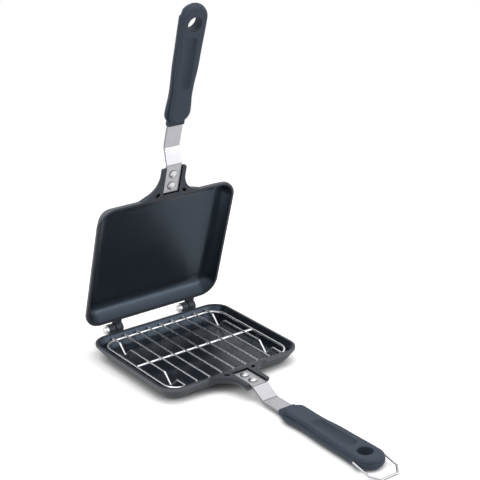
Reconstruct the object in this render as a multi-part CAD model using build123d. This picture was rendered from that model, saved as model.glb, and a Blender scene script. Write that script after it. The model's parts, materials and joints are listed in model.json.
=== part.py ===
from build123d import *
import os
from math import asin, degrees, radians, sin, sqrt, tan

# A hinged two-tray pie iron, in millimetres. +Z is up, +X runs along the hinge line and the
# handles point along -Y. The origin is the centre of the lower tray's underside.
# Everything is drawn closed in the lower tray's frame. The upper half is the same set of pieces
# turned over about Y, and is then swung open about the hinge line.

# Trays
tray_width = 150.0
tray_depth = 135.0
tray_height = 15.5
tray_corner = 17.5
floor_thickness = 3.0
rim_land = 2.5
rim_round = 0.5
lip_height = 2.6
wall_slope = 38.0
cavity_slope = 33.0
foot_flat = 0.6
closed_gap = 0.3
open_angle = 72.6

# Handle tang cast on each tray
tang_depth = 8.0
prong_wall = 4.4
prong_length = 30.8
prong_round = 2.4
flare_radius = 21.0
channel_side_gap = 0.7
channel_end = 2.5
pit_width = 3.1
pit_length = 5.4
pit_depth = 2.0
pit_side = 1.2
pit_forward = 3.6
pit_angle = 40.0

# Hinge
hinge_setback = 8.1
hinge_inset = 33.0
lug_depth = 9.5
knuckle_radius = 5.0
knuckle_length = 7.5
knuckle_gap = 0.5
pin_radius = 2.0
pin_fixed_clearance = 0.02
pin_running_clearance = 0.07
pin_head_radius = 4.7
pin_head_height = 4.3
pin_head_rim = 1.4
pin_tail_radius = 3.4
pin_tail_height = 1.2

# Handle strip
strip_width = 16.2
strip_thickness = 1.9
strip_sink = 1.6
strip_start = 3.3
strip_knee_gap = 2.1
strip_slant_run = 15.0
strip_drop = 9.8
strip_bend = 2.6
strip_end = 150.0
strip_clearance = 0.05

# Rivets through strip and tang
rivet_radius = 2.0
rivet_clearance = 0.05
rivet_head_radius = 4.2
rivet_head_height = 1.5
rivet_head_edge = 0.5
rivet_tail_radius = 3.4
rivet_tail_height = 1.0
rivet_inset = 8.0
rivet_pitch = 12.4

# Grips
grip_start = 74.4
grip_inner = 4.6
grip_crease = 7.6
grip_outer = 15.0
grip_round = 5.7
grip_shoulder = 13.2
grip_waist = 11.9
grip_waist_place = 104.0
grip_swell = 13.1
grip_swell_place = 136.0
grip_tip_radius = 13.5
grip_tip_place = 176.2
grip_corner = 8.4
shell_round = 1.5
cap_start = 75.4
cap_shoulder = 10.8
cap_waist = 10.4
cap_swell = 12.3
cap_tip_radius = 13.1
cap_corner = 8.0
cap_round = 2.8
cap_root = 9.8
neck_start = 70.6
neck_side = 0.8
neck_wall = 1.9
neck_round = 1.6
groove_start = 107.0
groove_end = 160.0
groove_radius = 9.0
groove_depth = 2.0
hang_hole_radius = 6.8
hang_hole_setback = 4.4
hang_hole_round = 0.8

# Latch bail on the lower grip
bail_wire = 1.0
bail_pivot_setback = 2.2
bail_pivot_depth = 9.3
bail_over_grip = 2.9
bail_side_gap = 0.3
bail_corner_width = 6.0
bail_corner_height = 8.0
bail_pivot_bend = 1.2
bail_corner_bend = 1.8
bail_tail = 9.4
bail_clearance = 0.06
latch_clearance = 0.3
latch_step_setting = 4.0

# Wire rack
rack_frame_wire = 1.3
rack_bar_wire = 0.9
rack_side_gap = 9.2
rack_end_gap = 7.5
rack_corner = 15.0
rack_shift = 1.0
rack_straight_bars = 7
rack_overhang = 1.5
rack_weld_gap = 0.02
rack_seat_gap = 0.1
rack_below_rim = 1.4
foot_wire_inset = 12.4
foot_inset = 21.7
foot_angle = 45.0
foot_bend = 2.0

# How far a cutting shape is drawn past the surface that it cuts
overshoot = 1.0

# Worked out from the above
front = -tray_depth / 2
back = tray_depth / 2
rim = tray_height
mating = rim + closed_gap / 2
hinge_y = back + hinge_setback
hinge_line = Pos(0, hinge_y, mating)
hinge_spread = tray_width - 2 * hinge_inset
channel_floor = strip_sink + strip_thickness
channel_half_width = strip_width / 2 + channel_side_gap
prong_half_width = channel_half_width + prong_wall
strip_knee = prong_length + strip_knee_gap
strip_ankle = strip_knee + strip_slant_run
rivet_places = (prong_length - rivet_inset - rivet_pitch, prong_length - rivet_inset)
grip_tip = grip_tip_place + grip_tip_radius
hang_hole_place = grip_tip_place - hang_hole_setback
bail_pivot_place = grip_tip_place - bail_pivot_setback
bail_pivot_z = rim - bail_pivot_depth
bail_arm = grip_tip_radius + bail_side_gap + bail_wire
latch_margin = bail_wire + latch_clearance
bail_reach = bail_pivot_depth + closed_gap + grip_outer + bail_over_grip
latch_step_place = bail_pivot_place + latch_step_setting
rack_width = tray_width - 2 * rack_side_gap
rack_depth = tray_depth - 2 * rack_end_gap
rack_pitch = (rack_width - 2 * foot_wire_inset) / (rack_straight_bars + 1)
foot_place = rack_depth / 2 - foot_inset


def forward(distance):
    """Y of a place measured forward from the tray's front edge."""
    return front - distance


def flat_to_handle(sketch, depth):
    """Puts a sketch drawn with +Y pointing along the handle at a depth below the rim."""
    return Pos(0, front, rim - depth) * Rot(Z=180) * sketch


def turned_over(shape):
    """The same piece on the other tray: half a turn about the Y line in the mating plane."""
    return Pos(0, 0, mating) * Rot(Y=180) * Pos(0, 0, -mating) * shape


def swung_open(shape):
    return hinge_line * Rot(X=-open_angle) * hinge_line.inverse() * shape


def on_lid(shape):
    return swung_open(turned_over(shape))


# ---- Trays ----

def wall_section(span, inset, lip, slope, height):
    """Half section of a filled dish. The wall stands inset from the tray's edge, falls straight
    for the lip, then leans inwards at slope from the vertical and curves into a flat base."""
    edge = span + tray_corner - inset
    foot = span + foot_flat
    reach = edge - (height - lip) * tan(radians(slope)) - foot
    bend = reach / tan(radians(90 - slope) / 2)
    with BuildSketch() as section:
        with BuildLine():
            arc = CenterArc((foot, bend), bend, -90, 90 - slope)
            Polyline(arc @ 1, (edge, height - lip), (edge, height), (0, height), (0, 0), arc @ 0)
        make_face()
    return section.sketch


def filled_dish(inset, lip, slope, height):
    """The dish as four turned corners joined by two straight bars of the same section."""
    half_x = tray_width / 2 - tray_corner
    half_y = tray_depth / 2 - tray_corner
    corner = revolve(Plane.XZ * wall_section(0, inset, lip, slope, height), Axis.Z)
    dish = Part() + [Pos(x, y) * corner for x in (-half_x, half_x) for y in (-half_y, half_y)]
    for plane, span, length in ((Plane.XZ, half_x, half_y), (Plane.YZ, half_y, half_x)):
        half = wall_section(span, inset, lip, slope, height)
        dish += extrude(plane * (half + mirror(half, Plane.YZ)), length, both=True)
    return dish


def cavity():
    """The hollow, drawn on past the rim so that it cuts cleanly."""
    hollow = filled_dish(rim_land, overshoot, cavity_slope, rim - floor_thickness + overshoot)
    return Pos(0, 0, floor_thickness) * hollow


def wall_inset(depth):
    """How far the outer wall has leaned in at a depth below the rim."""
    return (depth - lip_height) * tan(radians(wall_slope))


def tang_outline():
    """Forked tang seen from above, drawn with +Y towards the handle."""
    rim_reach = prong_half_width + flare_radius
    root = rim_land + 2 * wall_inset(tang_depth)
    with BuildSketch() as outline:
        with BuildLine():
            Polyline((0, -root), (rim_reach, -root), (rim_reach, 0))
            RadiusArc((rim_reach, 0), (prong_half_width, flare_radius), flare_radius)
            Polyline((prong_half_width, flare_radius), (prong_half_width, prong_length),
                     (0, prong_length), (0, -root))
        make_face()
        tip = outline.vertices().sort_by_distance((prong_half_width, prong_length, 0))[0]
        fillet(tip, prong_round)
        mirror(about=Plane.YZ)
    return outline.sketch


def tang():
    """Its sides fall straight for the lip and then lean in at the same slope as the wall."""
    outline = flat_to_handle(tang_outline(), lip_height)
    return extrude(outline, lip_height) + extrude(outline, lip_height - tang_depth, taper=wall_slope)


def hollowed_tray():
    """Dish and tang in one, hollowed, with every edge at the rim rounded."""
    body = filled_dish(0, lip_height, wall_slope, rim) + tang() - cavity()
    lips = body.edges().filter_by_position(Axis.Z, rim - 0.01, rim + 0.01)
    return fillet(lips, rim_round)


def cut_for_handle(body):
    """Channel for the strip, two pits beside it and the rivets' holes."""
    length = prong_length - channel_end
    middle = forward(channel_end + length / 2 + prong_round)
    size = (2 * channel_half_width, length + 2 * prong_round, 2 * channel_floor)
    body -= Pos(0, middle, rim) * Box(*size)
    pit = SlotOverall(pit_length, pit_width)
    for side in (-1, 1):
        place = Pos(side * (prong_half_width + pit_side), forward(pit_forward), rim)
        body -= place * extrude(Rot(Z=side * pit_angle) * pit, -pit_depth)
    for place in rivet_places:
        hole = Cylinder(rivet_radius + rivet_clearance, 3 * tang_depth)
        seat = Cylinder(rivet_tail_radius + rivet_clearance, 2 * rivet_tail_height)
        body -= Pos(0, forward(place), rim) * hole
        body -= Pos(0, forward(place), rim - tang_depth) * seat
    return body


def knuckle(low_x):
    """Barrel and the lug that carries it from the tray's back wall."""
    profile = Plane.YZ.offset(low_x)
    root = back - rim_land - wall_inset(lug_depth)
    under = mating - knuckle_radius
    outline = Polyline((root, rim), (hinge_y, rim), (hinge_y, under), (back + rim_land, under),
                       (back - wall_inset(lug_depth), rim - lug_depth), (root, rim - lug_depth),
                       close=True)
    lug = extrude(profile * make_face(outline), knuckle_length)
    barrel = extrude(profile * Pos(hinge_y, mating) * Circle(knuckle_radius), knuckle_length)
    return lug + barrel


def fixed_knuckle_start(side):
    return side * hinge_spread / 2 - knuckle_gap / 2 - knuckle_length


def tray(pin_clearance):
    """One casting: dish, forked tang and the two knuckles at the left of each hinge."""
    body = cut_for_handle(hollowed_tray())
    for side in (-1, 1):
        body += knuckle(fixed_knuckle_start(side)) - cavity()
    bore = Cylinder(pin_radius + pin_clearance, 2 * tray_width, rotation=(0, 90, 0))
    return body - Pos(0, hinge_y, mating) * bore


def hinge_pin(side):
    """Headed pin: domed head against the lower knuckle, tail spread over the lid's knuckle."""
    low = fixed_knuckle_start(side)
    length = 2 * knuckle_length + 2 * knuckle_gap
    dome = pin_head_height - pin_head_rim
    ball = (pin_head_radius ** 2 + dome ** 2) / (2 * dome)
    with BuildSketch() as half:
        with BuildLine():
            outer = Line((-pin_head_rim, pin_head_radius), (0, pin_head_radius))
            Polyline(outer @ 1, (0, pin_radius), (length, pin_radius), (length, pin_tail_radius),
                     (length + pin_tail_height / 2, pin_tail_radius),
                     (length + pin_tail_height, pin_tail_radius - pin_tail_height / 2),
                     (length + pin_tail_height, 0), (-pin_head_height, 0))
            RadiusArc((-pin_head_height, 0), outer @ 0, ball)
        make_face()
    pin = revolve(half.sketch, Axis.X)
    return Pos(low, hinge_y, mating) * pin


# ---- Handle strip and rivets ----

def strip():
    """Flat bar joggled down from the tang to the level of the grip."""
    middle = strip_thickness / 2
    upper, lower = rim - strip_sink - middle, rim - strip_drop - middle
    path = FilletPolyline((0, forward(strip_start), upper), (0, forward(strip_knee), upper),
                          (0, forward(strip_ankle), lower), (0, forward(strip_end), lower),
                          radius=strip_bend)
    section = Plane(origin=path @ 0, x_dir=(1, 0, 0), z_dir=path % 0)
    bar = sweep(section * Rectangle(strip_width, strip_thickness), path)
    for place in rivet_places:
        bar -= Pos(0, forward(place), rim) * Cylinder(rivet_radius + rivet_clearance, tray_height)
    return bar


def rivet(place):
    """Solid rivet: domed head on the strip, tail set flush in the tang's underside."""
    head_base = rim - strip_sink
    head_edge = head_base + rivet_head_edge
    tail_top = rim - tang_depth + rivet_tail_height
    dome = rivet_head_height - rivet_head_edge
    ball = (rivet_head_radius ** 2 + dome ** 2) / (2 * dome)
    with BuildSketch() as half:
        with BuildLine():
            Polyline((rivet_head_radius, head_edge), (rivet_head_radius, head_base),
                     (rivet_radius, head_base),
                     (rivet_radius, tail_top), (rivet_tail_radius, tail_top),
                     (rivet_tail_radius, rim - tang_depth), (0, rim - tang_depth),
                     (0, head_base + rivet_head_height))
            RadiusArc((0, head_base + rivet_head_height), (rivet_head_radius, head_edge), ball)
        make_face()
    return Pos(0, forward(place)) * revolve(Plane.XZ * half.sketch, Axis.Z)


# ---- Grips ----

def grip_outline(start, corner, shoulder, waist, swell, tip):
    """Handle outline seen from above: rounded start, waist, swelling and half-round tip.
    Each stretch of its side is two equal arcs that start and end straight ahead."""
    low = Vector(shoulder, start + corner)
    with BuildSketch() as outline:
        with BuildLine():
            first = Line((0, start), (shoulder - corner, start))
            CenterArc((shoulder - corner, start + corner), corner, -90, 90)
            for x, y in ((waist, grip_waist_place), (swell, grip_swell_place),
                         (tip, grip_tip_place)):
                high = Vector(x, y)
                bend = TangentArc(low, (low + high) / 2, tangent=(0, 1))
                TangentArc(bend @ 1, high, tangent=bend % 1)
                low = high
            end = CenterArc((0, grip_tip_place), tip, 0, 90)
            Line(end @ 1, first @ 0)
        make_face()
        mirror(about=Plane.YZ)
    return outline.sketch


def grip_blank():
    outline = grip_outline(grip_start, grip_corner, grip_shoulder, grip_waist, grip_swell,
                           grip_tip_radius)
    block = extrude(flat_to_handle(outline, grip_outer), grip_outer - grip_inner)
    block = fillet(block.edges().group_by(Axis.Z)[0], grip_round)
    keep = Pos(0, front - grip_tip / 2, rim - grip_crease - grip_outer)
    shell = block & keep * Box(tray_width, 2 * grip_tip, 2 * grip_outer)
    shell = fillet(shell.edges().group_by(Axis.Z)[-1], shell_round)
    cap_face = grip_outline(cap_start, cap_corner, cap_shoulder, cap_waist, cap_swell,
                            cap_tip_radius)
    cap = extrude(flat_to_handle(cap_face, cap_root), cap_root - grip_inner)
    cap = fillet(cap.edges().group_by(Axis.Z)[-1], cap_round)
    return shell + cap + grip_neck()


def grip_neck():
    """Short collar round the strip where it enters the grip."""
    top = strip_drop - neck_wall
    bottom = strip_drop + strip_thickness + neck_wall
    length = grip_start + grip_corner - neck_start
    place = Pos(0, forward(neck_start + length / 2), rim - (top + bottom) / 2)
    block = place * Box(strip_width + 2 * neck_side, length, bottom - top)
    return fillet(block.edges().filter_by(Axis.Y), neck_round)


def thumb_groove():
    """Shallow trough in the inner face: a round-ended bar laid mostly above it."""
    height = rim - grip_inner - groove_depth + groove_radius
    sink = sqrt(groove_radius ** 2 - (groove_radius - groove_depth) ** 2)
    low, high = groove_start + sink, groove_end - sink
    bar = Cylinder(groove_radius, high - low, rotation=(90, 0, 0))
    trough = Pos(0, forward((low + high) / 2), height) * bar
    for place in (low, high):
        trough += Pos(0, forward(place), height) * Sphere(groove_radius)
    return trough


def strip_pocket():
    length = strip_end - neck_start
    place = Pos(0, forward(neck_start + length / 2), rim - strip_drop - strip_thickness / 2)
    gap = 2 * strip_clearance
    return place * Box(strip_width + gap, length + gap, strip_thickness + gap)


def grip():
    body = grip_blank() - thumb_groove() - strip_pocket()
    hole = Cylinder(hang_hole_radius, 4 * grip_outer)
    body -= Pos(0, forward(hang_hole_place), rim) * hole
    mouths = body.edges().filter_by(GeomType.CIRCLE)
    mouths = mouths.filter_by(lambda e: abs(e.radius - hang_hole_radius) < 0.01)
    return fillet(mouths, hang_hole_round)


def lower_grip():
    """Carries the latch bail in a blind hole in each side."""
    body = grip()
    start = bail_tail - bail_clearance
    length = grip_tip_radius + grip_round - start
    for side in (-1, 1):
        place = Pos(side * (start + length / 2), forward(bail_pivot_place), bail_pivot_z)
        body -= place * Cylinder(bail_wire + bail_clearance, length, rotation=(0, 90, 0))
    return body


def bail_corners():
    """The bail's right half from its end in the grip to its cross bar, with +Y away from the pivots."""
    bar_half = bail_arm - bail_corner_width
    return [(bail_tail, 0), (bail_arm, 0), (bail_arm, bail_reach - bail_corner_height),
            (bar_half, bail_reach)]


def latch_track():
    """Room for the bail to swing over the end of the upper grip, and the step that it meets."""
    right = bail_corners()[1:]
    left = [(-x, y) for x, y in reversed(right)]
    inner = offset(make_face(Polyline(*right, *left, close=True)), -latch_margin)
    pivot = Pos(0, forward(bail_pivot_place), bail_pivot_z)
    size = 4 * grip_outer
    length = grip_tip - latch_step_place + grip_round
    block = Pos(0, forward(latch_step_place + length / 2), rim) * Box(size, length, 2 * size)
    return block - pivot * revolve(inner, Axis.X)


# ---- Latch bail ----

def bail_rest_angle():
    """Angle below level at which the cross bar lies on the surface under the trays."""
    return degrees(asin((bail_pivot_z - bail_wire) / bail_reach))


def latch_bail():
    """Bent wire loop, drawn flat with +Y away from its pivots, then laid at its rest angle."""
    half = bail_corners()
    points = half + [(-x, y) for x, y in reversed(half)]
    bends = [bail_pivot_bend] + 4 * [bail_corner_bend] + [bail_pivot_bend]
    path = FilletPolyline(*points, radius=bends)
    loop = sweep(Plane(origin=path @ 0, z_dir=path % 0) * Circle(bail_wire), path)
    pivot = Pos(0, forward(bail_pivot_place), bail_pivot_z)
    return pivot * Rot(X=bail_rest_angle()) * Rot(Z=180) * loop


# ---- Wire rack ----

def bar_level():
    return rim - rack_below_rim - rack_bar_wire


def frame_level():
    return bar_level() - rack_bar_wire - rack_frame_wire - rack_weld_gap


def rack_frame():
    path = Pos(0, 0, frame_level()) * RectangleRounded(rack_width, rack_depth, rack_corner).wire()
    section = Plane(origin=path @ 0, z_dir=path % 0) * Circle(rack_frame_wire)
    return sweep(section, path)


def rack_centre_bar():
    length = rack_width - 2 * (rack_frame_wire + rack_weld_gap)
    return Pos(0, 0, frame_level()) * Cylinder(rack_frame_wire, length, rotation=(0, 90, 0))


def bar_reach():
    return rack_depth / 2 + rack_overhang


def rack_bar(x):
    bar = Cylinder(rack_bar_wire, 2 * bar_reach(), rotation=(90, 0, 0))
    return Pos(x, 0, bar_level()) * bar


def rack_foot_wire(x):
    """Outer bar bent down into two V feet that stand on the tray's floor."""
    fall = bar_level() - floor_thickness - rack_bar_wire - rack_seat_gap
    half_angle = radians(foot_angle)
    drop = fall + foot_bend * (1 / sin(half_angle) - 1)
    spread = drop * tan(half_angle)
    points = [(-bar_reach(), 0)]
    for middle in (-foot_place, foot_place):
        points += [(middle - spread, 0), (middle, -drop), (middle + spread, 0)]
    points += [(bar_reach(), 0)]
    path = FilletPolyline(*[(x, y, bar_level() + z) for y, z in points], radius=foot_bend)
    return sweep(Plane(origin=path @ 0, z_dir=path % 0) * Circle(rack_bar_wire), path)


# ---- Pieces ----

def pieces():
    made = {
        "lower_tray": tray(pin_fixed_clearance),
        "upper_tray": on_lid(tray(pin_running_clearance)),
        "lower_handle_strip": strip(),
        "upper_handle_strip": on_lid(strip()),
        "lower_grip": lower_grip(),
        "upper_grip": swung_open(turned_over(grip()) - latch_track()),
        "left_hinge_pin": hinge_pin(-1),
        "right_hinge_pin": hinge_pin(1),
        "latch_bail": latch_bail(),
        "rack_frame": rack_frame(),
        "rack_centre_bar": rack_centre_bar(),
    }
    for name, place in zip(("rear", "front"), rivet_places):
        made[f"lower_{name}_rivet"] = rivet(place)
        made[f"upper_{name}_rivet"] = on_lid(rivet(place))
    for number in range(rack_straight_bars):
        x = (number - (rack_straight_bars - 1) / 2) * rack_pitch
        made[f"rack_bar_{number + 1}"] = rack_bar(x)
    outer = (rack_straight_bars + 1) / 2 * rack_pitch
    made["rack_left_foot_wire"] = rack_foot_wire(-outer)
    made["rack_right_foot_wire"] = rack_foot_wire(outer)
    for node in made:
        if node.startswith("rack"):
            made[node] = Pos(rack_shift) * made[node]
    return made


os.makedirs("parts", exist_ok=True)
for node, solid in pieces().items():
    export_step(solid, f"parts/{node}.step")
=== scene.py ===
import json
import math

import bpy
from mathutils import Matrix, Vector


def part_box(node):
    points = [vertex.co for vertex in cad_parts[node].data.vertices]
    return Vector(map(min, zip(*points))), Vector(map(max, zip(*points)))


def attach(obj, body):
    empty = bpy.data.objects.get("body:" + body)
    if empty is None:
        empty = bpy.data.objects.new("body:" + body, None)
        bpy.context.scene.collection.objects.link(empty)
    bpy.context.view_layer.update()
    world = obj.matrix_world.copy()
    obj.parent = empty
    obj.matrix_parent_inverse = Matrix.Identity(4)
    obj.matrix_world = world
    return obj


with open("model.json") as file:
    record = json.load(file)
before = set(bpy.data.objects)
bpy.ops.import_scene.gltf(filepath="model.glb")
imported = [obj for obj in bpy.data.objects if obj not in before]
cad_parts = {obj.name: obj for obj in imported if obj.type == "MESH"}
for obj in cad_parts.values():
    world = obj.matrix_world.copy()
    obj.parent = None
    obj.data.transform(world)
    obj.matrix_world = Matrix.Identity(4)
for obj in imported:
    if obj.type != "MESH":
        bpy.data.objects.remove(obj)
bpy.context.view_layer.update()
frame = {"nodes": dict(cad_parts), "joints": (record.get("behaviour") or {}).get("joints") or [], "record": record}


# ---- Lower tray ----
# A die-cast aluminium tray with a forked tang in front and two hinge knuckles behind. Its inside has a
# smooth dark non-stick coating. The outside, the rim and the tang have a duller, slightly grainy coat.

def highest_corner(node):
    """The highest corner of the box round a CAD node."""
    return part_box(node)[1]


MM = 0.001

# The hinge, and how far the tray's back edge and its rim lie from the hinge line
HINGE = next(joint for joint in frame["joints"] if joint["name"] == "lid_hinge")
HINGE_LINE = Vector(HINGE["pos_m"])
HINGE_SETBACK = 8.1 * MM
HALF_MATING_GAP = 0.15 * MM

# The tray's outline, and the widths that are measured inwards from it
TRAY_HALF_WIDTH = highest_corner("lower_tray").x
TRAY_HALF_DEPTH = HINGE_LINE.y - HINGE_SETBACK
TRAY_CORNER = 17.5 * MM
RIM_HEIGHT = HINGE_LINE.z - HALF_MATING_GAP
RIM_WIDTH = 2.5 * MM
RIM_OVERLAP = 0.1 * MM
LIP_CORE = 0.3 * MM
LIP_WIDTH = 0.5 * MM
SEAM_WIDTH = 0.5 * MM
THIN_COAT_WIDTH = 6 * MM

# The tang's recesses, measured sideways from the middle, ahead of the tray and down from the rim
CHANNEL_SIDE_GAP = 0.7 * MM
CHANNEL_HALF_WIDTH = highest_corner("lower_handle_strip").x + CHANNEL_SIDE_GAP
CHANNEL_START = 1.0 * MM
PIT_SIDE = 14.4 * MM
PIT_AHEAD = 3.6 * MM
PIT_REACH = 2.9 * MM
RECESS_TOP = 0.2 * MM
RECESS_BOTTOM = 5.0 * MM

# The gaps between the knuckles, measured sideways from the middle and behind the tray
KNUCKLE_GAP_PLACE = 42 * MM
KNUCKLE_GAP_CORE = 0.5 * MM
KNUCKLE_GAP_REACH = 0.8 * MM
KNUCKLE_START = 2.5 * MM

# How wide the change from one finish to the next is
SOFT_EDGE = 0.5 * MM
CRISP_EDGE = 0.3 * MM

# How far up the surface faces, from 0 for level with the horizon to 1 for straight up
TURNED_UP = 0.12
ROUNDED_LIP = 0.6
FLAT_RIM = 0.9

# The coating's noise, tones, tints, roughness and sheen, each as it is outside and inside
MOST_NOISE = (0.3, 0.7)
GRAIN_SIZE = 0.45 * MM
GRAIN_FLECKS = (0.42, 0.68)
GRAIN_BUMP = 0.35
GRAIN_HEIGHT = 0.12 * MM
COAT_CLOUD_SIZE = 24 * MM
OUTER_TONES = ((0.031, 0.034, 0.040), (0.062, 0.066, 0.075))
# The lip's lighter tone is a painted highlight on the rim's rounded outer edge.
LIP_HIGHLIGHT_TONE = (0.102, 0.107, 0.117)
# The recesses' near-black tone is painted shade.
RECESS_SHADE_TONE = (0.004, 0.0045, 0.0055)
INNER_TONES = ((0.0022, 0.0034, 0.0054), (0.0042, 0.0058, 0.0084))
OUTER_TINT = (0.68, 0.80, 1.0)
INNER_TINT = (0.60, 0.77, 1.0)
OUTER_ROUGHNESS = (0.38, 0.52)
INNER_ROUGHNESS = (0.285, 0.32)
OUTER_SHEEN = 0.34
INNER_SHEEN = 0.74
LOWER_RIM_SHEEN = 0.80
HIDDEN_SHEEN = 0.25


def set_inputs(tree, node, values):
    """Sets a node's inputs, or links those that another node's output drives. A colour is written as
    its three linear parts."""
    in_use = [socket for socket in node.inputs if socket.enabled]
    for name, value in values.items():
        by_order = isinstance(name, int)
        socket = in_use[name] if by_order else next(s for s in in_use if s.name == name)
        if isinstance(value, bpy.types.NodeSocket):
            tree.links.new(value, socket)
        elif socket.type == "RGBA":
            socket.default_value = (*value, 1)
        else:
            socket.default_value = value


def add(tree, kind, inputs=None, **settings):
    """One node in a tree, with its settings and the values or links of its inputs."""
    made = tree.nodes.new(kind)
    for name, value in settings.items():
        setattr(made, name, value)
    set_inputs(tree, made, inputs or {})
    return made


def maths(tree, operation, *values):
    """One sum, in the order that its values are given."""
    return add(tree, "ShaderNodeMath", dict(enumerate(values)), operation=operation).outputs[0]


def product(tree, first, second):
    """Where both shares hold."""
    return maths(tree, "MULTIPLY", first, second)


def ramp(tree, value, low, high, start=0.0, end=1.0):
    """Takes value from low to high onto start to end, smoothly and held at both ends."""
    ends = {"Value": value, "From Min": low, "From Max": high, "To Min": start, "To Max": end}
    return add(tree, "ShaderNodeMapRange", ends, interpolation_type="SMOOTHSTEP").outputs["Result"]


def band(tree, value, start, full, fading, end):
    """0 up to start, 1 from full to fading and 0 again from end."""
    return product(tree, ramp(tree, value, start, full), ramp(tree, value, end, fading))


def stripe(tree, value, middle, core, reach):
    """1 within core of middle, falling to 0 at reach from it."""
    away = maths(tree, "ABSOLUTE", maths(tree, "SUBTRACT", value, middle))
    return ramp(tree, away, reach, core)


def distance(tree, across, along):
    """How far a point is from the one that it lies across and along from."""
    flat = add(tree, "ShaderNodeCombineXYZ", {"X": across, "Y": along}).outputs[0]
    return add(tree, "ShaderNodeVectorMath", {0: flat}, operation="LENGTH").outputs["Value"]


def axes_of(tree, vector):
    """A vector's X, Y and Z."""
    return add(tree, "ShaderNodeSeparateXYZ", {"Vector": vector}).outputs


def blend(tree, share, first, second, kind="RGBA"):
    """first where share is 0 and second where it is 1."""
    made = add(tree, "ShaderNodeMix", data_type=kind)
    set_inputs(tree, made, {"Factor": share, "A": first, "B": second})
    return next(socket for socket in made.outputs if socket.enabled)


def noise(tree, place, size, detail=2.0, roughness=0.5):
    """Even noise from 0 to 1 whose lumps are about size across."""
    looks = {"Vector": place, "Scale": 1 / size, "Detail": detail, "Roughness": roughness}
    return add(tree, "ShaderNodeTexNoise", looks).outputs["Fac"]


def spread(tree, cloud, low, high):
    """Spreads a noise, most of which lies within MOST_NOISE, from low to high."""
    return ramp(tree, cloud, *MOST_NOISE, low, high)


def bumps(tree, height, strength, depth):
    """Lumps that stand depth proud where height is 1."""
    lumps = {"Height": height, "Strength": strength, "Distance": depth}
    return add(tree, "ShaderNodeBump", lumps).outputs[0]


def new_finish(name):
    """A material with one Principled shader, and the place of each point of the surface."""
    finish = bpy.data.materials.new(name)
    finish.use_nodes = True
    tree = finish.node_tree
    place = add(tree, "ShaderNodeTexCoord").outputs["Object"]
    return finish, tree, tree.nodes["Principled BSDF"], place


def dress(node, finish):
    """Gives a CAD solid's material slots their finish."""
    for slot in frame["nodes"][node].material_slots:
        slot.material = finish


def own_place(tree, place, to_lower):
    """Takes a place on either half of the iron to the like place on the lower half."""
    move = {"Vector": place, "Rotation": to_lower.to_3x3().to_euler(),
            "Location": to_lower.to_translation()}
    return add(tree, "ShaderNodeMapping", move).outputs[0]


def own_facing(tree, to_lower):
    """The way that the surface faces, once it is turned in the same way."""
    facing = add(tree, "ShaderNodeTexCoord").outputs["Normal"]
    turn = {"Vector": facing, "Rotation": to_lower.to_3x3().to_euler()}
    return add(tree, "ShaderNodeMapping", turn, vector_type="NORMAL").outputs[0]


def inset_from_edge(tree, axes):
    """How far inside the tray's rounded outline a point lies. It is negative outside."""
    across = maths(tree, "SUBTRACT", maths(tree, "ABSOLUTE", axes["X"]), TRAY_HALF_WIDTH - TRAY_CORNER)
    along = maths(tree, "SUBTRACT", maths(tree, "ABSOLUTE", axes["Y"]), TRAY_HALF_DEPTH - TRAY_CORNER)
    beyond = distance(tree, maths(tree, "MAXIMUM", across, 0.0), maths(tree, "MAXIMUM", along, 0.0))
    return maths(tree, "SUBTRACT", TRAY_CORNER, beyond)


def painted_lip_highlight(tree, inset, up):
    """The rounded outer edge of the rim, which gets a painted highlight."""
    edge = band(tree, inset, -LIP_CORE, 0.0, LIP_CORE, LIP_WIDTH)
    return product(tree, edge, ramp(tree, up, FLAT_RIM, ROUNDED_LIP))


def tang_recesses(tree, axes):
    """The strip's channel in the tang and the pit on each side of it."""
    beside = maths(tree, "ABSOLUTE", axes["X"])
    ahead = maths(tree, "SUBTRACT", maths(tree, "MULTIPLY", axes["Y"], -1.0), TRAY_HALF_DEPTH)
    channel = product(tree, ramp(tree, beside, CHANNEL_HALF_WIDTH + CRISP_EDGE, CHANNEL_HALF_WIDTH),
                      ramp(tree, ahead, CHANNEL_START, CHANNEL_START + SOFT_EDGE))
    from_pit = distance(tree, maths(tree, "SUBTRACT", beside, PIT_SIDE),
                        maths(tree, "SUBTRACT", ahead, PIT_AHEAD))
    pit = ramp(tree, from_pit, PIT_REACH + CRISP_EDGE, PIT_REACH)
    depth = maths(tree, "SUBTRACT", RIM_HEIGHT, axes["Z"])
    sunk = band(tree, depth, RECESS_TOP, RECESS_TOP + SOFT_EDGE, RECESS_BOTTOM - SOFT_EDGE, RECESS_BOTTOM)
    return product(tree, maths(tree, "MAXIMUM", channel, pit), sunk)


def knuckle_gaps(tree, axes):
    """The narrow gap between each tray's knuckle and the next, behind the tray."""
    beside = maths(tree, "ABSOLUTE", axes["X"])
    behind = maths(tree, "SUBTRACT", axes["Y"], TRAY_HALF_DEPTH)
    return product(tree, stripe(tree, beside, KNUCKLE_GAP_PLACE, KNUCKLE_GAP_CORE, KNUCKLE_GAP_REACH),
                   ramp(tree, behind, KNUCKLE_START, KNUCKLE_START + SOFT_EDGE))


def outer_tone(tree, grain, lip_highlight, recess_shade):
    """Lighter flecks in the grain, a painted highlight on the lip and painted shade in the recesses."""
    tone = blend(tree, ramp(tree, grain, *GRAIN_FLECKS), *OUTER_TONES)
    tone = blend(tree, lip_highlight, tone, LIP_HIGHLIGHT_TONE)
    return blend(tree, recess_shade, tone, RECESS_SHADE_TONE)


def coat_sheen(tree, inset, inside, hidden, rim_sheen):
    """The coat's sheen, which changes towards the rim and is lost where little light gets in."""
    coat = ramp(tree, inset, RIM_WIDTH, RIM_WIDTH + THIN_COAT_WIDTH, rim_sheen, INNER_SHEEN)
    coat = blend(tree, inside, OUTER_SHEEN, coat, "FLOAT")
    return product(tree, coat, ramp(tree, hidden, 0.0, 1.0, 1.0, HIDDEN_SHEEN))


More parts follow.
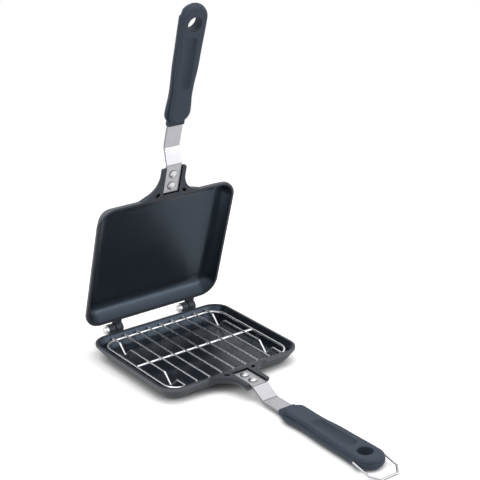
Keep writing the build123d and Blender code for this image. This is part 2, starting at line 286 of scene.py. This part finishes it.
def coated_casting(name, to_lower, rim_sheen):
    """Satin non-stick inside, with rim_sheen where it runs out at the rim, and a grainy coat outside."""
    finish, tree, shader, place = new_finish(name)
    own = own_place(tree, place, to_lower)
    axes = axes_of(tree, own)
    up = axes_of(tree, own_facing(tree, to_lower))["Z"]
    inset = inset_from_edge(tree, axes)
    upward = ramp(tree, up, 0.0, TURNED_UP)
    inside = product(tree, ramp(tree, inset, RIM_WIDTH - RIM_OVERLAP, RIM_WIDTH + SOFT_EDGE), upward)
    seam = band(tree, inset, RIM_WIDTH - SEAM_WIDTH, RIM_WIDTH, RIM_WIDTH, RIM_WIDTH + 2 * SEAM_WIDTH)
    # Painted shade goes in the tang's channel and pits and in the knuckle gaps, which also lose sheen.
    recess_shade = maths(tree, "MAXIMUM", tang_recesses(tree, axes), knuckle_gaps(tree, axes))
    hidden = maths(tree, "MAXIMUM", product(tree, seam, upward), recess_shade)
    grain = noise(tree, own, GRAIN_SIZE, detail=3.0, roughness=0.6)
    cloud = noise(tree, own, COAT_CLOUD_SIZE, detail=3.0, roughness=0.55)
    # The outer tone carries a painted highlight on the rim's outer edge and painted shade in the recesses.
    outer = outer_tone(tree, grain, painted_lip_highlight(tree, inset, up), recess_shade)
    inner = blend(tree, cloud, *INNER_TONES)
    dull = spread(tree, grain, *OUTER_ROUGHNESS)
    smooth = spread(tree, cloud, *INNER_ROUGHNESS)
    grainy = ramp(tree, inside, 0.0, 1.0, GRAIN_BUMP, 0.0)
    set_inputs(tree, shader, {
        "Base Color": blend(tree, inside, outer, inner),
        "Specular Tint": blend(tree, inside, OUTER_TINT, INNER_TINT),
        "Specular IOR Level": coat_sheen(tree, inset, inside, hidden, rim_sheen),
        "Roughness": blend(tree, inside, dull, smooth, "FLOAT"),
        "Normal": bumps(tree, grain, grainy, GRAIN_HEIGHT)})
    return finish


AS_IT_LIES = Matrix.Identity(4)
dress("lower_tray", coated_casting("lower_tray_coating", AS_IT_LIES, LOWER_RIM_SHEEN))


# ---- Upper tray ----
# The same casting turned over and hung on the hinge pins, with a thinner non-stick towards its rim. The
# finish is laid out as the lower tray's is, once a place is closed about the hinge and turned over.

UPPER_RIM_SHEEN = 0.42
OPEN_ANGLE = math.radians(-HINGE["range_deg"][0])
CLOSING = (Matrix.Translation(HINGE_LINE) @ Matrix.Rotation(OPEN_ANGLE, 4, "X")
           @ Matrix.Translation(-HINGE_LINE))
MATING_LEVEL = Matrix.Translation((0, 0, HINGE_LINE.z))
TURNING_OVER = MATING_LEVEL @ Matrix.Rotation(math.pi, 4, "Y") @ MATING_LEVEL.inverted()
HALVES = {"lower": AS_IT_LIES, "upper": TURNING_OVER @ CLOSING}

dress("upper_tray", coated_casting("upper_tray_coating", HALVES["upper"], UPPER_RIM_SHEEN))


# ---- Hinge pins ----
# Steel pins with polished, nickel-plated domed heads, pushed through the knuckles from the left and
# spread over the last knuckle.

NICKEL_TONE = (0.80, 0.80, 0.81)
NICKEL_ROUGHNESS = (0.42, 0.30)
NICKEL_PATCH = 4 * MM
DIM_PLATING = 0.9
RIPPLE_SIZE = 0.6 * MM
RIPPLE_DEPTH = 0.05 * MM


def shade(tone, share):
    """A tone with that share of its light."""
    return tuple(share * part for part in tone)


def plated(name, tone, roughness, patch):
    """Bright plating whose tone and gloss wander a little over patches of that size."""
    finish, tree, shader, place = new_finish(name)
    cloud = noise(tree, place, patch, detail=3.0)
    set_inputs(tree, shader, {
        "Metallic": 1.0,
        "Base Color": blend(tree, cloud, shade(tone, DIM_PLATING), tone),
        "Roughness": spread(tree, cloud, *roughness),
        "Normal": bumps(tree, noise(tree, place, RIPPLE_SIZE), strength=0.05, depth=RIPPLE_DEPTH)})
    return finish


pin_finish = plated("pin_nickel", NICKEL_TONE, NICKEL_ROUGHNESS, NICKEL_PATCH)
for side in ("left", "right"):
    dress(f"{side}_hinge_pin", pin_finish)


# ---- Handle strips ----
# Flat bars of plated steel, cut to width and joggled down from the tang to the grip. The rolling grain
# runs along them, and each bend has a fine line of painted shade, fainter on the upper strip.

STRIP_TONE = (0.51, 0.51, 0.54)
STREAK_SHADE = 0.86
STREAK_WIDTH = 0.5 * MM
STREAK_STRETCH = 25
STREAK_ROUGHNESS = (0.30, 0.38)
STREAK_HEIGHT = 0.05 * MM
PATCH_SIZE = 9 * MM
PATCH_ROUGHNESS = (0.0, 0.06)
CUT_TONE = (0.24, 0.24, 0.25)
CUT_FACING = (0.6, 0.8)
BENDS_AHEAD = (32.9 * MM, 47.9 * MM)
BEND_CORE = 0.28 * MM
BEND_REACH = 0.7 * MM
# Each bend's dark line is painted shade, fainter on the upper strip.
BEND_SHADE_TONES = {"lower": (0.20, 0.20, 0.21), "upper": (0.36, 0.36, 0.38)}


def rolled_steel(name, to_lower, bend_shade_tone):
    """Satin steel with streaks along it, darker cut edges and a line of painted shade at each bend."""
    finish, tree, shader, place = new_finish(name)
    own = own_place(tree, place, to_lower)
    along = add(tree, "ShaderNodeMapping", {"Vector": own, "Scale": (1, 1 / STREAK_STRETCH, 1)})
    streak = noise(tree, along.outputs[0], STREAK_WIDTH, detail=3.0, roughness=0.6)
    patch = noise(tree, own, PATCH_SIZE, detail=3.0)
    tone = blend(tree, streak, shade(STRIP_TONE, STREAK_SHADE), STRIP_TONE)
    sideways = maths(tree, "ABSOLUTE", axes_of(tree, own_facing(tree, to_lower))["X"])
    tone = blend(tree, ramp(tree, sideways, *CUT_FACING), tone, CUT_TONE)
    reach = axes_of(tree, own)["Y"]
    # A fine line of painted shade along each bend.
    for ahead in BENDS_AHEAD:
        bend_shade = stripe(tree, reach, -TRAY_HALF_DEPTH - ahead, BEND_CORE, BEND_REACH)
        tone = blend(tree, bend_shade, tone, bend_shade_tone)
    rough = maths(tree, "ADD", spread(tree, streak, *STREAK_ROUGHNESS),
                  spread(tree, patch, *PATCH_ROUGHNESS))
    set_inputs(tree, shader, {
        "Metallic": 1.0, "Base Color": tone, "Roughness": rough,
        "Normal": bumps(tree, streak, strength=0.12, depth=STREAK_HEIGHT)})
    return finish


for half, to_lower in HALVES.items():
    dress(f"{half}_handle_strip", rolled_steel(f"{half}_strip_steel", to_lower, BEND_SHADE_TONES[half]))


# ---- Rivets ----
# Solid aluminium rivets, headed cold, two through each strip and tang. Their domes are burnished, with
# painted shade round the edge of each head.

DOME_TONES = ((0.62, 0.62, 0.63), (0.75, 0.75, 0.76))
DOME_ROUGHNESS = (0.34, 0.26)
DOME_CLOUD_SIZE = 1.5 * MM
DIMPLE_SIZE = 0.7 * MM
DIMPLE_DEPTH = 0.05 * MM
# The dark tone at the edge of each head is painted shade.
HEAD_EDGE_SHADE_TONE = (0.13, 0.13, 0.135)
HEAD_EDGE_SHADE_FACING = (0.935, 0.895)


def headed_aluminium(name, to_lower):
    """A bright dome with painted shade at its edge, where the surface leans away from the rivet's own axis."""
    finish, tree, shader, place = new_finish(name)
    up = maths(tree, "ABSOLUTE", axes_of(tree, own_facing(tree, to_lower))["Z"])
    cloud = noise(tree, place, DOME_CLOUD_SIZE, detail=3.0)
    dome = blend(tree, cloud, *DOME_TONES)
    set_inputs(tree, shader, {
        "Metallic": 1.0,
        "Base Color": blend(tree, ramp(tree, up, *HEAD_EDGE_SHADE_FACING), dome, HEAD_EDGE_SHADE_TONE),
        "Roughness": spread(tree, cloud, *DOME_ROUGHNESS),
        "Normal": bumps(tree, noise(tree, place, DIMPLE_SIZE), strength=0.10, depth=DIMPLE_DEPTH)})
    return finish


for half, to_lower in HALVES.items():
    rivet_finish = headed_aluminium(f"{half}_rivet_aluminium", to_lower)
    for end in ("rear", "front"):
        dress(f"{half}_{end}_rivet", rivet_finish)


# ---- Grips ----
# Two-part moulded heat-proof grips, dark slate, matte, with the fine stipple of a spark-eroded mould.
# A painted shadow lies in the step where the two mouldings meet, and painted shade darkens the thumb's groove.

GRIP_TONES = ((0.037, 0.047, 0.065), (0.046, 0.058, 0.079))
GRIP_TINT = (0.80, 0.90, 1.0)
GRIP_SHEEN = 0.22
GRIP_ROUGHNESS = (0.50, 0.58)
GRIP_CLOUD_SIZE = 16 * MM
STIPPLE_SIZE = 0.5 * MM
STIPPLE_HEIGHT = 0.08 * MM
GROOVE_START = 107 * MM
GROOVE_END = 160 * MM
GROOVE_HALF_WIDTH = 5.7 * MM
GROOVE_CORE = 0.86 * GROOVE_HALF_WIDTH
GROOVE_DEPTH = 2 * MM
GROOVE_FLOOR = highest_corner("lower_grip").z - GROOVE_DEPTH
# The groove's darker tone is painted shade.
GROOVE_SHADE_TONE = (0.033, 0.042, 0.057)
CREASE_DROP = 7.6 * MM
CREASE_HEIGHT = RIM_HEIGHT - CREASE_DROP
CREASE_CORE = 0.135 * MM
CREASE_REACH = 0.45 * MM
# The crease's dark tone is a painted shadow in the step between the mouldings.
CREASE_SHADE_TONE = (0.024, 0.030, 0.040)


def thumb_groove(tree, axes):
    """The round-ended groove, from its floor up."""
    middle = -TRAY_HALF_DEPTH - (GROOVE_START + GROOVE_END) / 2
    straight = (GROOVE_END - GROOVE_START) / 2 - GROOVE_HALF_WIDTH
    away = maths(tree, "ABSOLUTE", maths(tree, "SUBTRACT", axes["Y"], middle))
    past = maths(tree, "MAXIMUM", maths(tree, "SUBTRACT", away, straight), 0.0)
    within = ramp(tree, distance(tree, axes["X"], past), GROOVE_HALF_WIDTH, GROOVE_CORE)
    return product(tree, within, ramp(tree, axes["Z"], GROOVE_FLOOR - CRISP_EDGE - SOFT_EDGE,
                                      GROOVE_FLOOR - CRISP_EDGE))


def moulded_grip(name, to_lower):
    """Stippled plastic with painted shade in the groove and a painted shadow along the parting crease."""
    finish, tree, shader, place = new_finish(name)
    own = own_place(tree, place, to_lower)
    axes = axes_of(tree, own)
    cloud = noise(tree, own, GRIP_CLOUD_SIZE, detail=3.0)
    tone = blend(tree, cloud, *GRIP_TONES)
    tone = blend(tree, thumb_groove(tree, axes), tone, GROOVE_SHADE_TONE)
    crease_shade = stripe(tree, axes["Z"], CREASE_HEIGHT, CREASE_CORE, CREASE_REACH)
    set_inputs(tree, shader, {
        "Base Color": blend(tree, crease_shade, tone, CREASE_SHADE_TONE),
        "Specular IOR Level": GRIP_SHEEN,
        "Specular Tint": GRIP_TINT,
        "Roughness": spread(tree, cloud, *GRIP_ROUGHNESS),
        "Normal": bumps(tree, noise(tree, own, STIPPLE_SIZE), strength=0.22, depth=STIPPLE_HEIGHT)})
    return finish


for half, to_lower in HALVES.items():
    dress(f"{half}_grip", moulded_grip(f"{half}_grip_plastic", to_lower))


# ---- Latch bail ----
# Plated spring wire, bent into a square loop whose ends are sprung into holes in the sides of the lower
# grip, where it turns.

SPRING_TONE = (0.46, 0.46, 0.48)
SPRING_ROUGHNESS = (0.26, 0.18)
WIRE_PATCH = 6 * MM

dress("latch_bail", plated("spring_wire", SPRING_TONE, SPRING_ROUGHNESS, WIRE_PATCH))


# ---- Wire rack ----
# Bright-plated steel wires, spot-welded on a closed frame wire and a centre bar. The two outer bars are
# bent down into four feet, on which the rack stands loose in the lower tray.

BRIGHT_TONE = (0.78, 0.78, 0.79)
BRIGHT_ROUGHNESS = (0.30, 0.22)
RACK_WIRES = frame["record"]["behaviour"]["bodies"]["rack"]

wire_finish = plated("bright_wire", BRIGHT_TONE, BRIGHT_ROUGHNESS, WIRE_PATCH)
for wire in RACK_WIRES:
    dress(wire, wire_finish)


# ---- Spot welds ----
# The rack's wires are pressed together and fused where they cross, which squeezes a small bead of metal
# out of each joint. The centre bar is fused to the frame at both ends in the same way.

FRAME_WIRE_RADIUS = 1.3 * MM
WELD_GAP = 0.02 * MM
RACK_END_GAP = 7.5 * MM
CROSSING_BARS = [wire for wire in RACK_WIRES if wire not in ("rack_frame", "rack_centre_bar")]
CROSSING_ROWS = 3
CROSSING_DEPTH = 2 * (TRAY_HALF_DEPTH - RACK_END_GAP)
BAR_END = 64.6 * MM
BAR_DROP = FRAME_WIRE_RADIUS + WELD_GAP / 2
SMALLEST_BEAD = (1.10 * MM, 1.15 * MM, 0.62 * MM)
LARGEST_BEAD = (1.35 * MM, 1.45 * MM, 0.85 * MM)
BEAD_SUBDIVISIONS = 3
BEAD_SEED = 7
BEAD_TONE = (0.74, 0.74, 0.75)
BEAD_ROUGHNESS = (0.38, 0.28)
BEAD_PATCH = 1.5 * MM


def middle_of(node):
    """The middle of the box round a CAD node."""
    low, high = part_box(node)
    return (low + high) / 2


def bead_inputs():
    """The tree's inputs: a name, a kind of socket and a value for each."""
    pitch = middle_of("rack_bar_2").x - middle_of("rack_bar_1").x
    centre = middle_of("rack_frame") + Vector((0, 0, BAR_DROP))
    metal = plated("weld_bead", BEAD_TONE, BEAD_ROUGHNESS, BEAD_PATCH)
    return (("Pitch", "Float", pitch), ("Columns", "Int", len(CROSSING_BARS)),
            ("Depth", "Float", CROSSING_DEPTH), ("Rows", "Int", CROSSING_ROWS),
            ("Centre", "Vector", centre), ("Bar end", "Float", BAR_END),
            ("Bar drop", "Float", BAR_DROP), ("Smallest", "Vector", SMALLEST_BEAD),
            ("Largest", "Vector", LARGEST_BEAD), ("Seed", "Int", BEAD_SEED),
            ("Metal", "Material", metal))


def crossings(tree, size):
    """Where the bars cross the front wire, the centre bar and the back wire."""
    width = maths(tree, "MULTIPLY", size["Pitch"], maths(tree, "SUBTRACT", size["Columns"], 1.0))
    grid = {"Size X": width, "Size Y": size["Depth"],
            "Vertices X": size["Columns"], "Vertices Y": size["Rows"]}
    return add(tree, "GeometryNodeMeshGrid", grid).outputs["Mesh"]


def bar_ends(tree, size):
    """Where the centre bar meets the frame wire, lower than the crossings."""
    start = add(tree, "ShaderNodeCombineXYZ", {"X": maths(tree, "MULTIPLY", size["Bar end"], -1.0),
                                               "Z": maths(tree, "MULTIPLY", size["Bar drop"], -1.0)})
    step = add(tree, "ShaderNodeCombineXYZ", {"X": maths(tree, "MULTIPLY", size["Bar end"], 2.0)})
    line = {"Count": 2, "Start Location": start.outputs[0], "Offset": step.outputs[0]}
    return add(tree, "GeometryNodeMeshLine", line).outputs[0]


def beads_on(tree, points, size):
    """A smooth metal bead on each point, each of a slightly different size."""
    bead = add(tree, "GeometryNodeMeshIcoSphere", {"Radius": 1.0, "Subdivisions": BEAD_SUBDIVISIONS})
    scale = add(tree, "FunctionNodeRandomValue", {"Min": size["Smallest"], "Max": size["Largest"],
                                                  "Seed": size["Seed"]}, data_type="FLOAT_VECTOR")
    beads = add(tree, "GeometryNodeInstanceOnPoints",
                {"Points": points, "Instance": bead.outputs["Mesh"], "Scale": scale.outputs[0]})
    real = add(tree, "GeometryNodeRealizeInstances", {"Geometry": beads.outputs[0]})
    smooth = add(tree, "GeometryNodeSetShadeSmooth", {"Geometry": real.outputs[0]})
    return add(tree, "GeometryNodeSetMaterial", {"Geometry": smooth.outputs[0],
                                                 "Material": size["Metal"]}).outputs[0]


def bead_tree():
    """The tree of nodes, and the value of each of its inputs by its socket's identifier."""
    tree = bpy.data.node_groups.new("weld_beads", "GeometryNodeTree")
    given = {}
    for name, kind, value in bead_inputs():
        socket = tree.interface.new_socket(name, in_out="INPUT", socket_type=f"NodeSocket{kind}")
        given[socket.identifier] = value
    tree.interface.new_socket("Beads", in_out="OUTPUT", socket_type="NodeSocketGeometry")
    size = add(tree, "NodeGroupInput").outputs
    joined = add(tree, "GeometryNodeJoinGeometry")
    for points in (crossings(tree, size), bar_ends(tree, size)):
        tree.links.new(points, joined.inputs[0])
    placed = add(tree, "GeometryNodeTransform", {"Geometry": joined.outputs[0],
                                                 "Translation": size["Centre"]}).outputs[0]
    tree.links.new(beads_on(tree, placed, size), add(tree, "NodeGroupOutput").inputs[0])
    return tree, given


beads = bpy.data.objects.new("rack_weld_beads", bpy.data.meshes.new("rack_weld_beads"))
bpy.context.scene.collection.objects.link(beads)
maker = beads.modifiers.new("beads", "NODES")
maker.node_group, bead_sizes = bead_tree()
for identifier, value in bead_sizes.items():
    maker[identifier] = value
drawn = beads.evaluated_get(bpy.context.evaluated_depsgraph_get())
bead_mesh = bpy.data.meshes.new_from_object(drawn)
beads.modifiers.clear()
beads.data = bead_mesh
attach(beads, "rack")


# ---- Table ----
# A plain white matt table top that the iron stands on. It takes the iron's shadow, with a painted contact
# shadow added where the iron comes near it, and turns plain white further off.

TABLE_SIZE = 12.0
TABLE_DROP = 0.2 * MM
TABLE_TONES = ((0.70, 0.70, 0.705), (0.72, 0.72, 0.72))
TABLE_ROUGHNESS = 0.8
TABLE_SHEEN = 0.1
TABLE_GLOW = 0.34
TABLE_CLOUD_SIZE = 60 * MM
PAPER_GAIN = 1.36
# How far the painted contact shadow reaches, and how much light it leaves.
PAINTED_SHADOW_REACH = 16 * MM
PAINTED_SHADOW_SHARE = 0.2
OPEN_SKY = 0.5
SHADOW_FADE = (0.35, 0.75)
WHITE = (1, 1, 1)


def seen_directly(tree):
    """1 for what the camera sees, straight or in a polished surface, and 0 for light on the object."""
    ray = add(tree, "ShaderNodeLightPath").outputs
    plain = maths(tree, "ADD", ray["Is Camera Ray"], ray["Is Glossy Ray"])
    return maths(tree, "MINIMUM", maths(tree, "ADD", plain, ray["Is Transmission Ray"]), 1.0)


def paper_with_painted_shadow(tree):
    """White paper as the camera sees it straight, with a painted contact shadow close to what stands on
    it. PAPER_GAIN lifts it, so that it is grey in the iron's shadow alone."""
    # Painted contact shadow, from how open the table is to the sky around it.
    openness = add(tree, "ShaderNodeAmbientOcclusion", {"Distance": PAINTED_SHADOW_REACH}).outputs["AO"]
    tone = ramp(tree, openness, 0.0, OPEN_SKY, PAINTED_SHADOW_SHARE * PAPER_GAIN, PAPER_GAIN)
    grey = add(tree, "ShaderNodeCombineColor", {"Red": tone, "Green": tone, "Blue": tone}).outputs[0]
    return add(tree, "ShaderNodeBsdfDiffuse", {"Color": grey}).outputs[0]


def table_finish():
    """The table as it lights the iron and shows in its metal, as the camera sees it, and far off."""
    finish, tree, shader, place = new_finish("white_table")
    seen = seen_directly(tree)
    cloud = noise(tree, place, TABLE_CLOUD_SIZE, detail=3.0)
    set_inputs(tree, shader, {
        "Base Color": blend(tree, cloud, *TABLE_TONES),
        "Roughness": TABLE_ROUGHNESS,
        "Specular IOR Level": TABLE_SHEEN,
        "Emission Color": WHITE,
        "Emission Strength": maths(tree, "MULTIPLY", seen, TABLE_GLOW)})
    by_camera = add(tree, "ShaderNodeLightPath").outputs["Is Camera Ray"]
    near = add(tree, "ShaderNodeMixShader", {0: by_camera, 1: shader.outputs[0],
                                             2: paper_with_painted_shadow(tree)}).outputs[0]
    away = add(tree, "ShaderNodeVectorMath", {0: place}, operation="LENGTH").outputs["Value"]
    far = product(tree, seen, ramp(tree, away, *SHADOW_FADE))
    plain = add(tree, "ShaderNodeEmission").outputs[0]
    mixed = add(tree, "ShaderNodeMixShader", {0: far, 1: near, 2: plain}).outputs[0]
    set_inputs(tree, tree.nodes["Material Output"], {"Surface": mixed})
    return finish


bpy.ops.mesh.primitive_plane_add(size=TABLE_SIZE, location=(0, 0, -TABLE_DROP))
floor = bpy.context.object
floor.name = "table_top"
floor.data.materials.append(table_finish())


# ---- Light ----
# Soft studio light: an even pale surround, one large softbox overhead and three smaller ones in front,
# on the right and on the left.

SURROUND_LEVEL = 0.52
AIM_HEIGHT = 0.05

surround = bpy.data.worlds.new("studio")
surround.use_nodes = True
studio = surround.node_tree
level = add(studio, "ShaderNodeMapRange", {"Value": seen_directly(studio), "To Min": SURROUND_LEVEL})
set_inputs(studio, studio.nodes["Background"], {"Color": WHITE, "Strength": level.outputs[0]})
bpy.context.scene.world = surround


def softbox(name, place, size, power):
    """A rectangular lamp that faces a point AIM_HEIGHT above the middle of the lower tray."""
    lamp = bpy.data.lights.new(name, "AREA")
    lamp.shape = "RECTANGLE"
    lamp.size, lamp.size_y = size
    lamp.energy = power
    stand = bpy.data.objects.new(name, lamp)
    stand.location = place
    towards = Vector((0, 0, AIM_HEIGHT)) - stand.location
    stand.rotation_euler = towards.to_track_quat("-Z", "Y").to_euler()
    bpy.context.scene.collection.objects.link(stand)


softbox("overhead_softbox", place=(0.0, 0.0, 1.5), size=(1.4, 1.2), power=10)
softbox("front_softbox", place=(0.70, -1.35, 0.54), size=(1.25, 0.65), power=6.5)
softbox("right_softbox", place=(0.62, -0.76, 1.02), size=(0.65, 0.65), power=1.7)
softbox("left_softbox", place=(-1.55, -0.15, 0.75), size=(1.0, 0.8), power=5.2)


# ---- Camera ----
# A long lens about 1.25 m from the iron, which looks down on it from its front left and is rolled a
# little about its own axis.

CAMERA_PLACE = Vector((-0.6289, -0.9365, 0.5514))
CAMERA_AZIMUTH = math.radians(-36.09)
CAMERA_TILT = math.radians(21.02)
CAMERA_ROLL = math.radians(-0.82)
LENS = 100
FILM_WIDTH = 36

back = Vector((math.sin(CAMERA_AZIMUTH) * math.cos(CAMERA_TILT),
               -math.cos(CAMERA_AZIMUTH) * math.cos(CAMERA_TILT), math.sin(CAMERA_TILT)))
right = Vector((math.cos(CAMERA_AZIMUTH), math.sin(CAMERA_AZIMUTH), 0))
unrolled = Matrix((right, back.cross(right), back)).transposed()
turned = (unrolled @ Matrix.Rotation(CAMERA_ROLL, 3, "Z")).to_4x4()
camera = bpy.data.cameras.new("camera")
camera.lens = LENS
camera.sensor_width = FILM_WIDTH
viewer = bpy.data.objects.new("camera", camera)
viewer.matrix_world = Matrix.Translation(CAMERA_PLACE) @ turned
bpy.context.scene.collection.objects.link(viewer)
bpy.context.scene.camera = viewer
bpy.context.scene.view_settings.view_transform = "Standard"
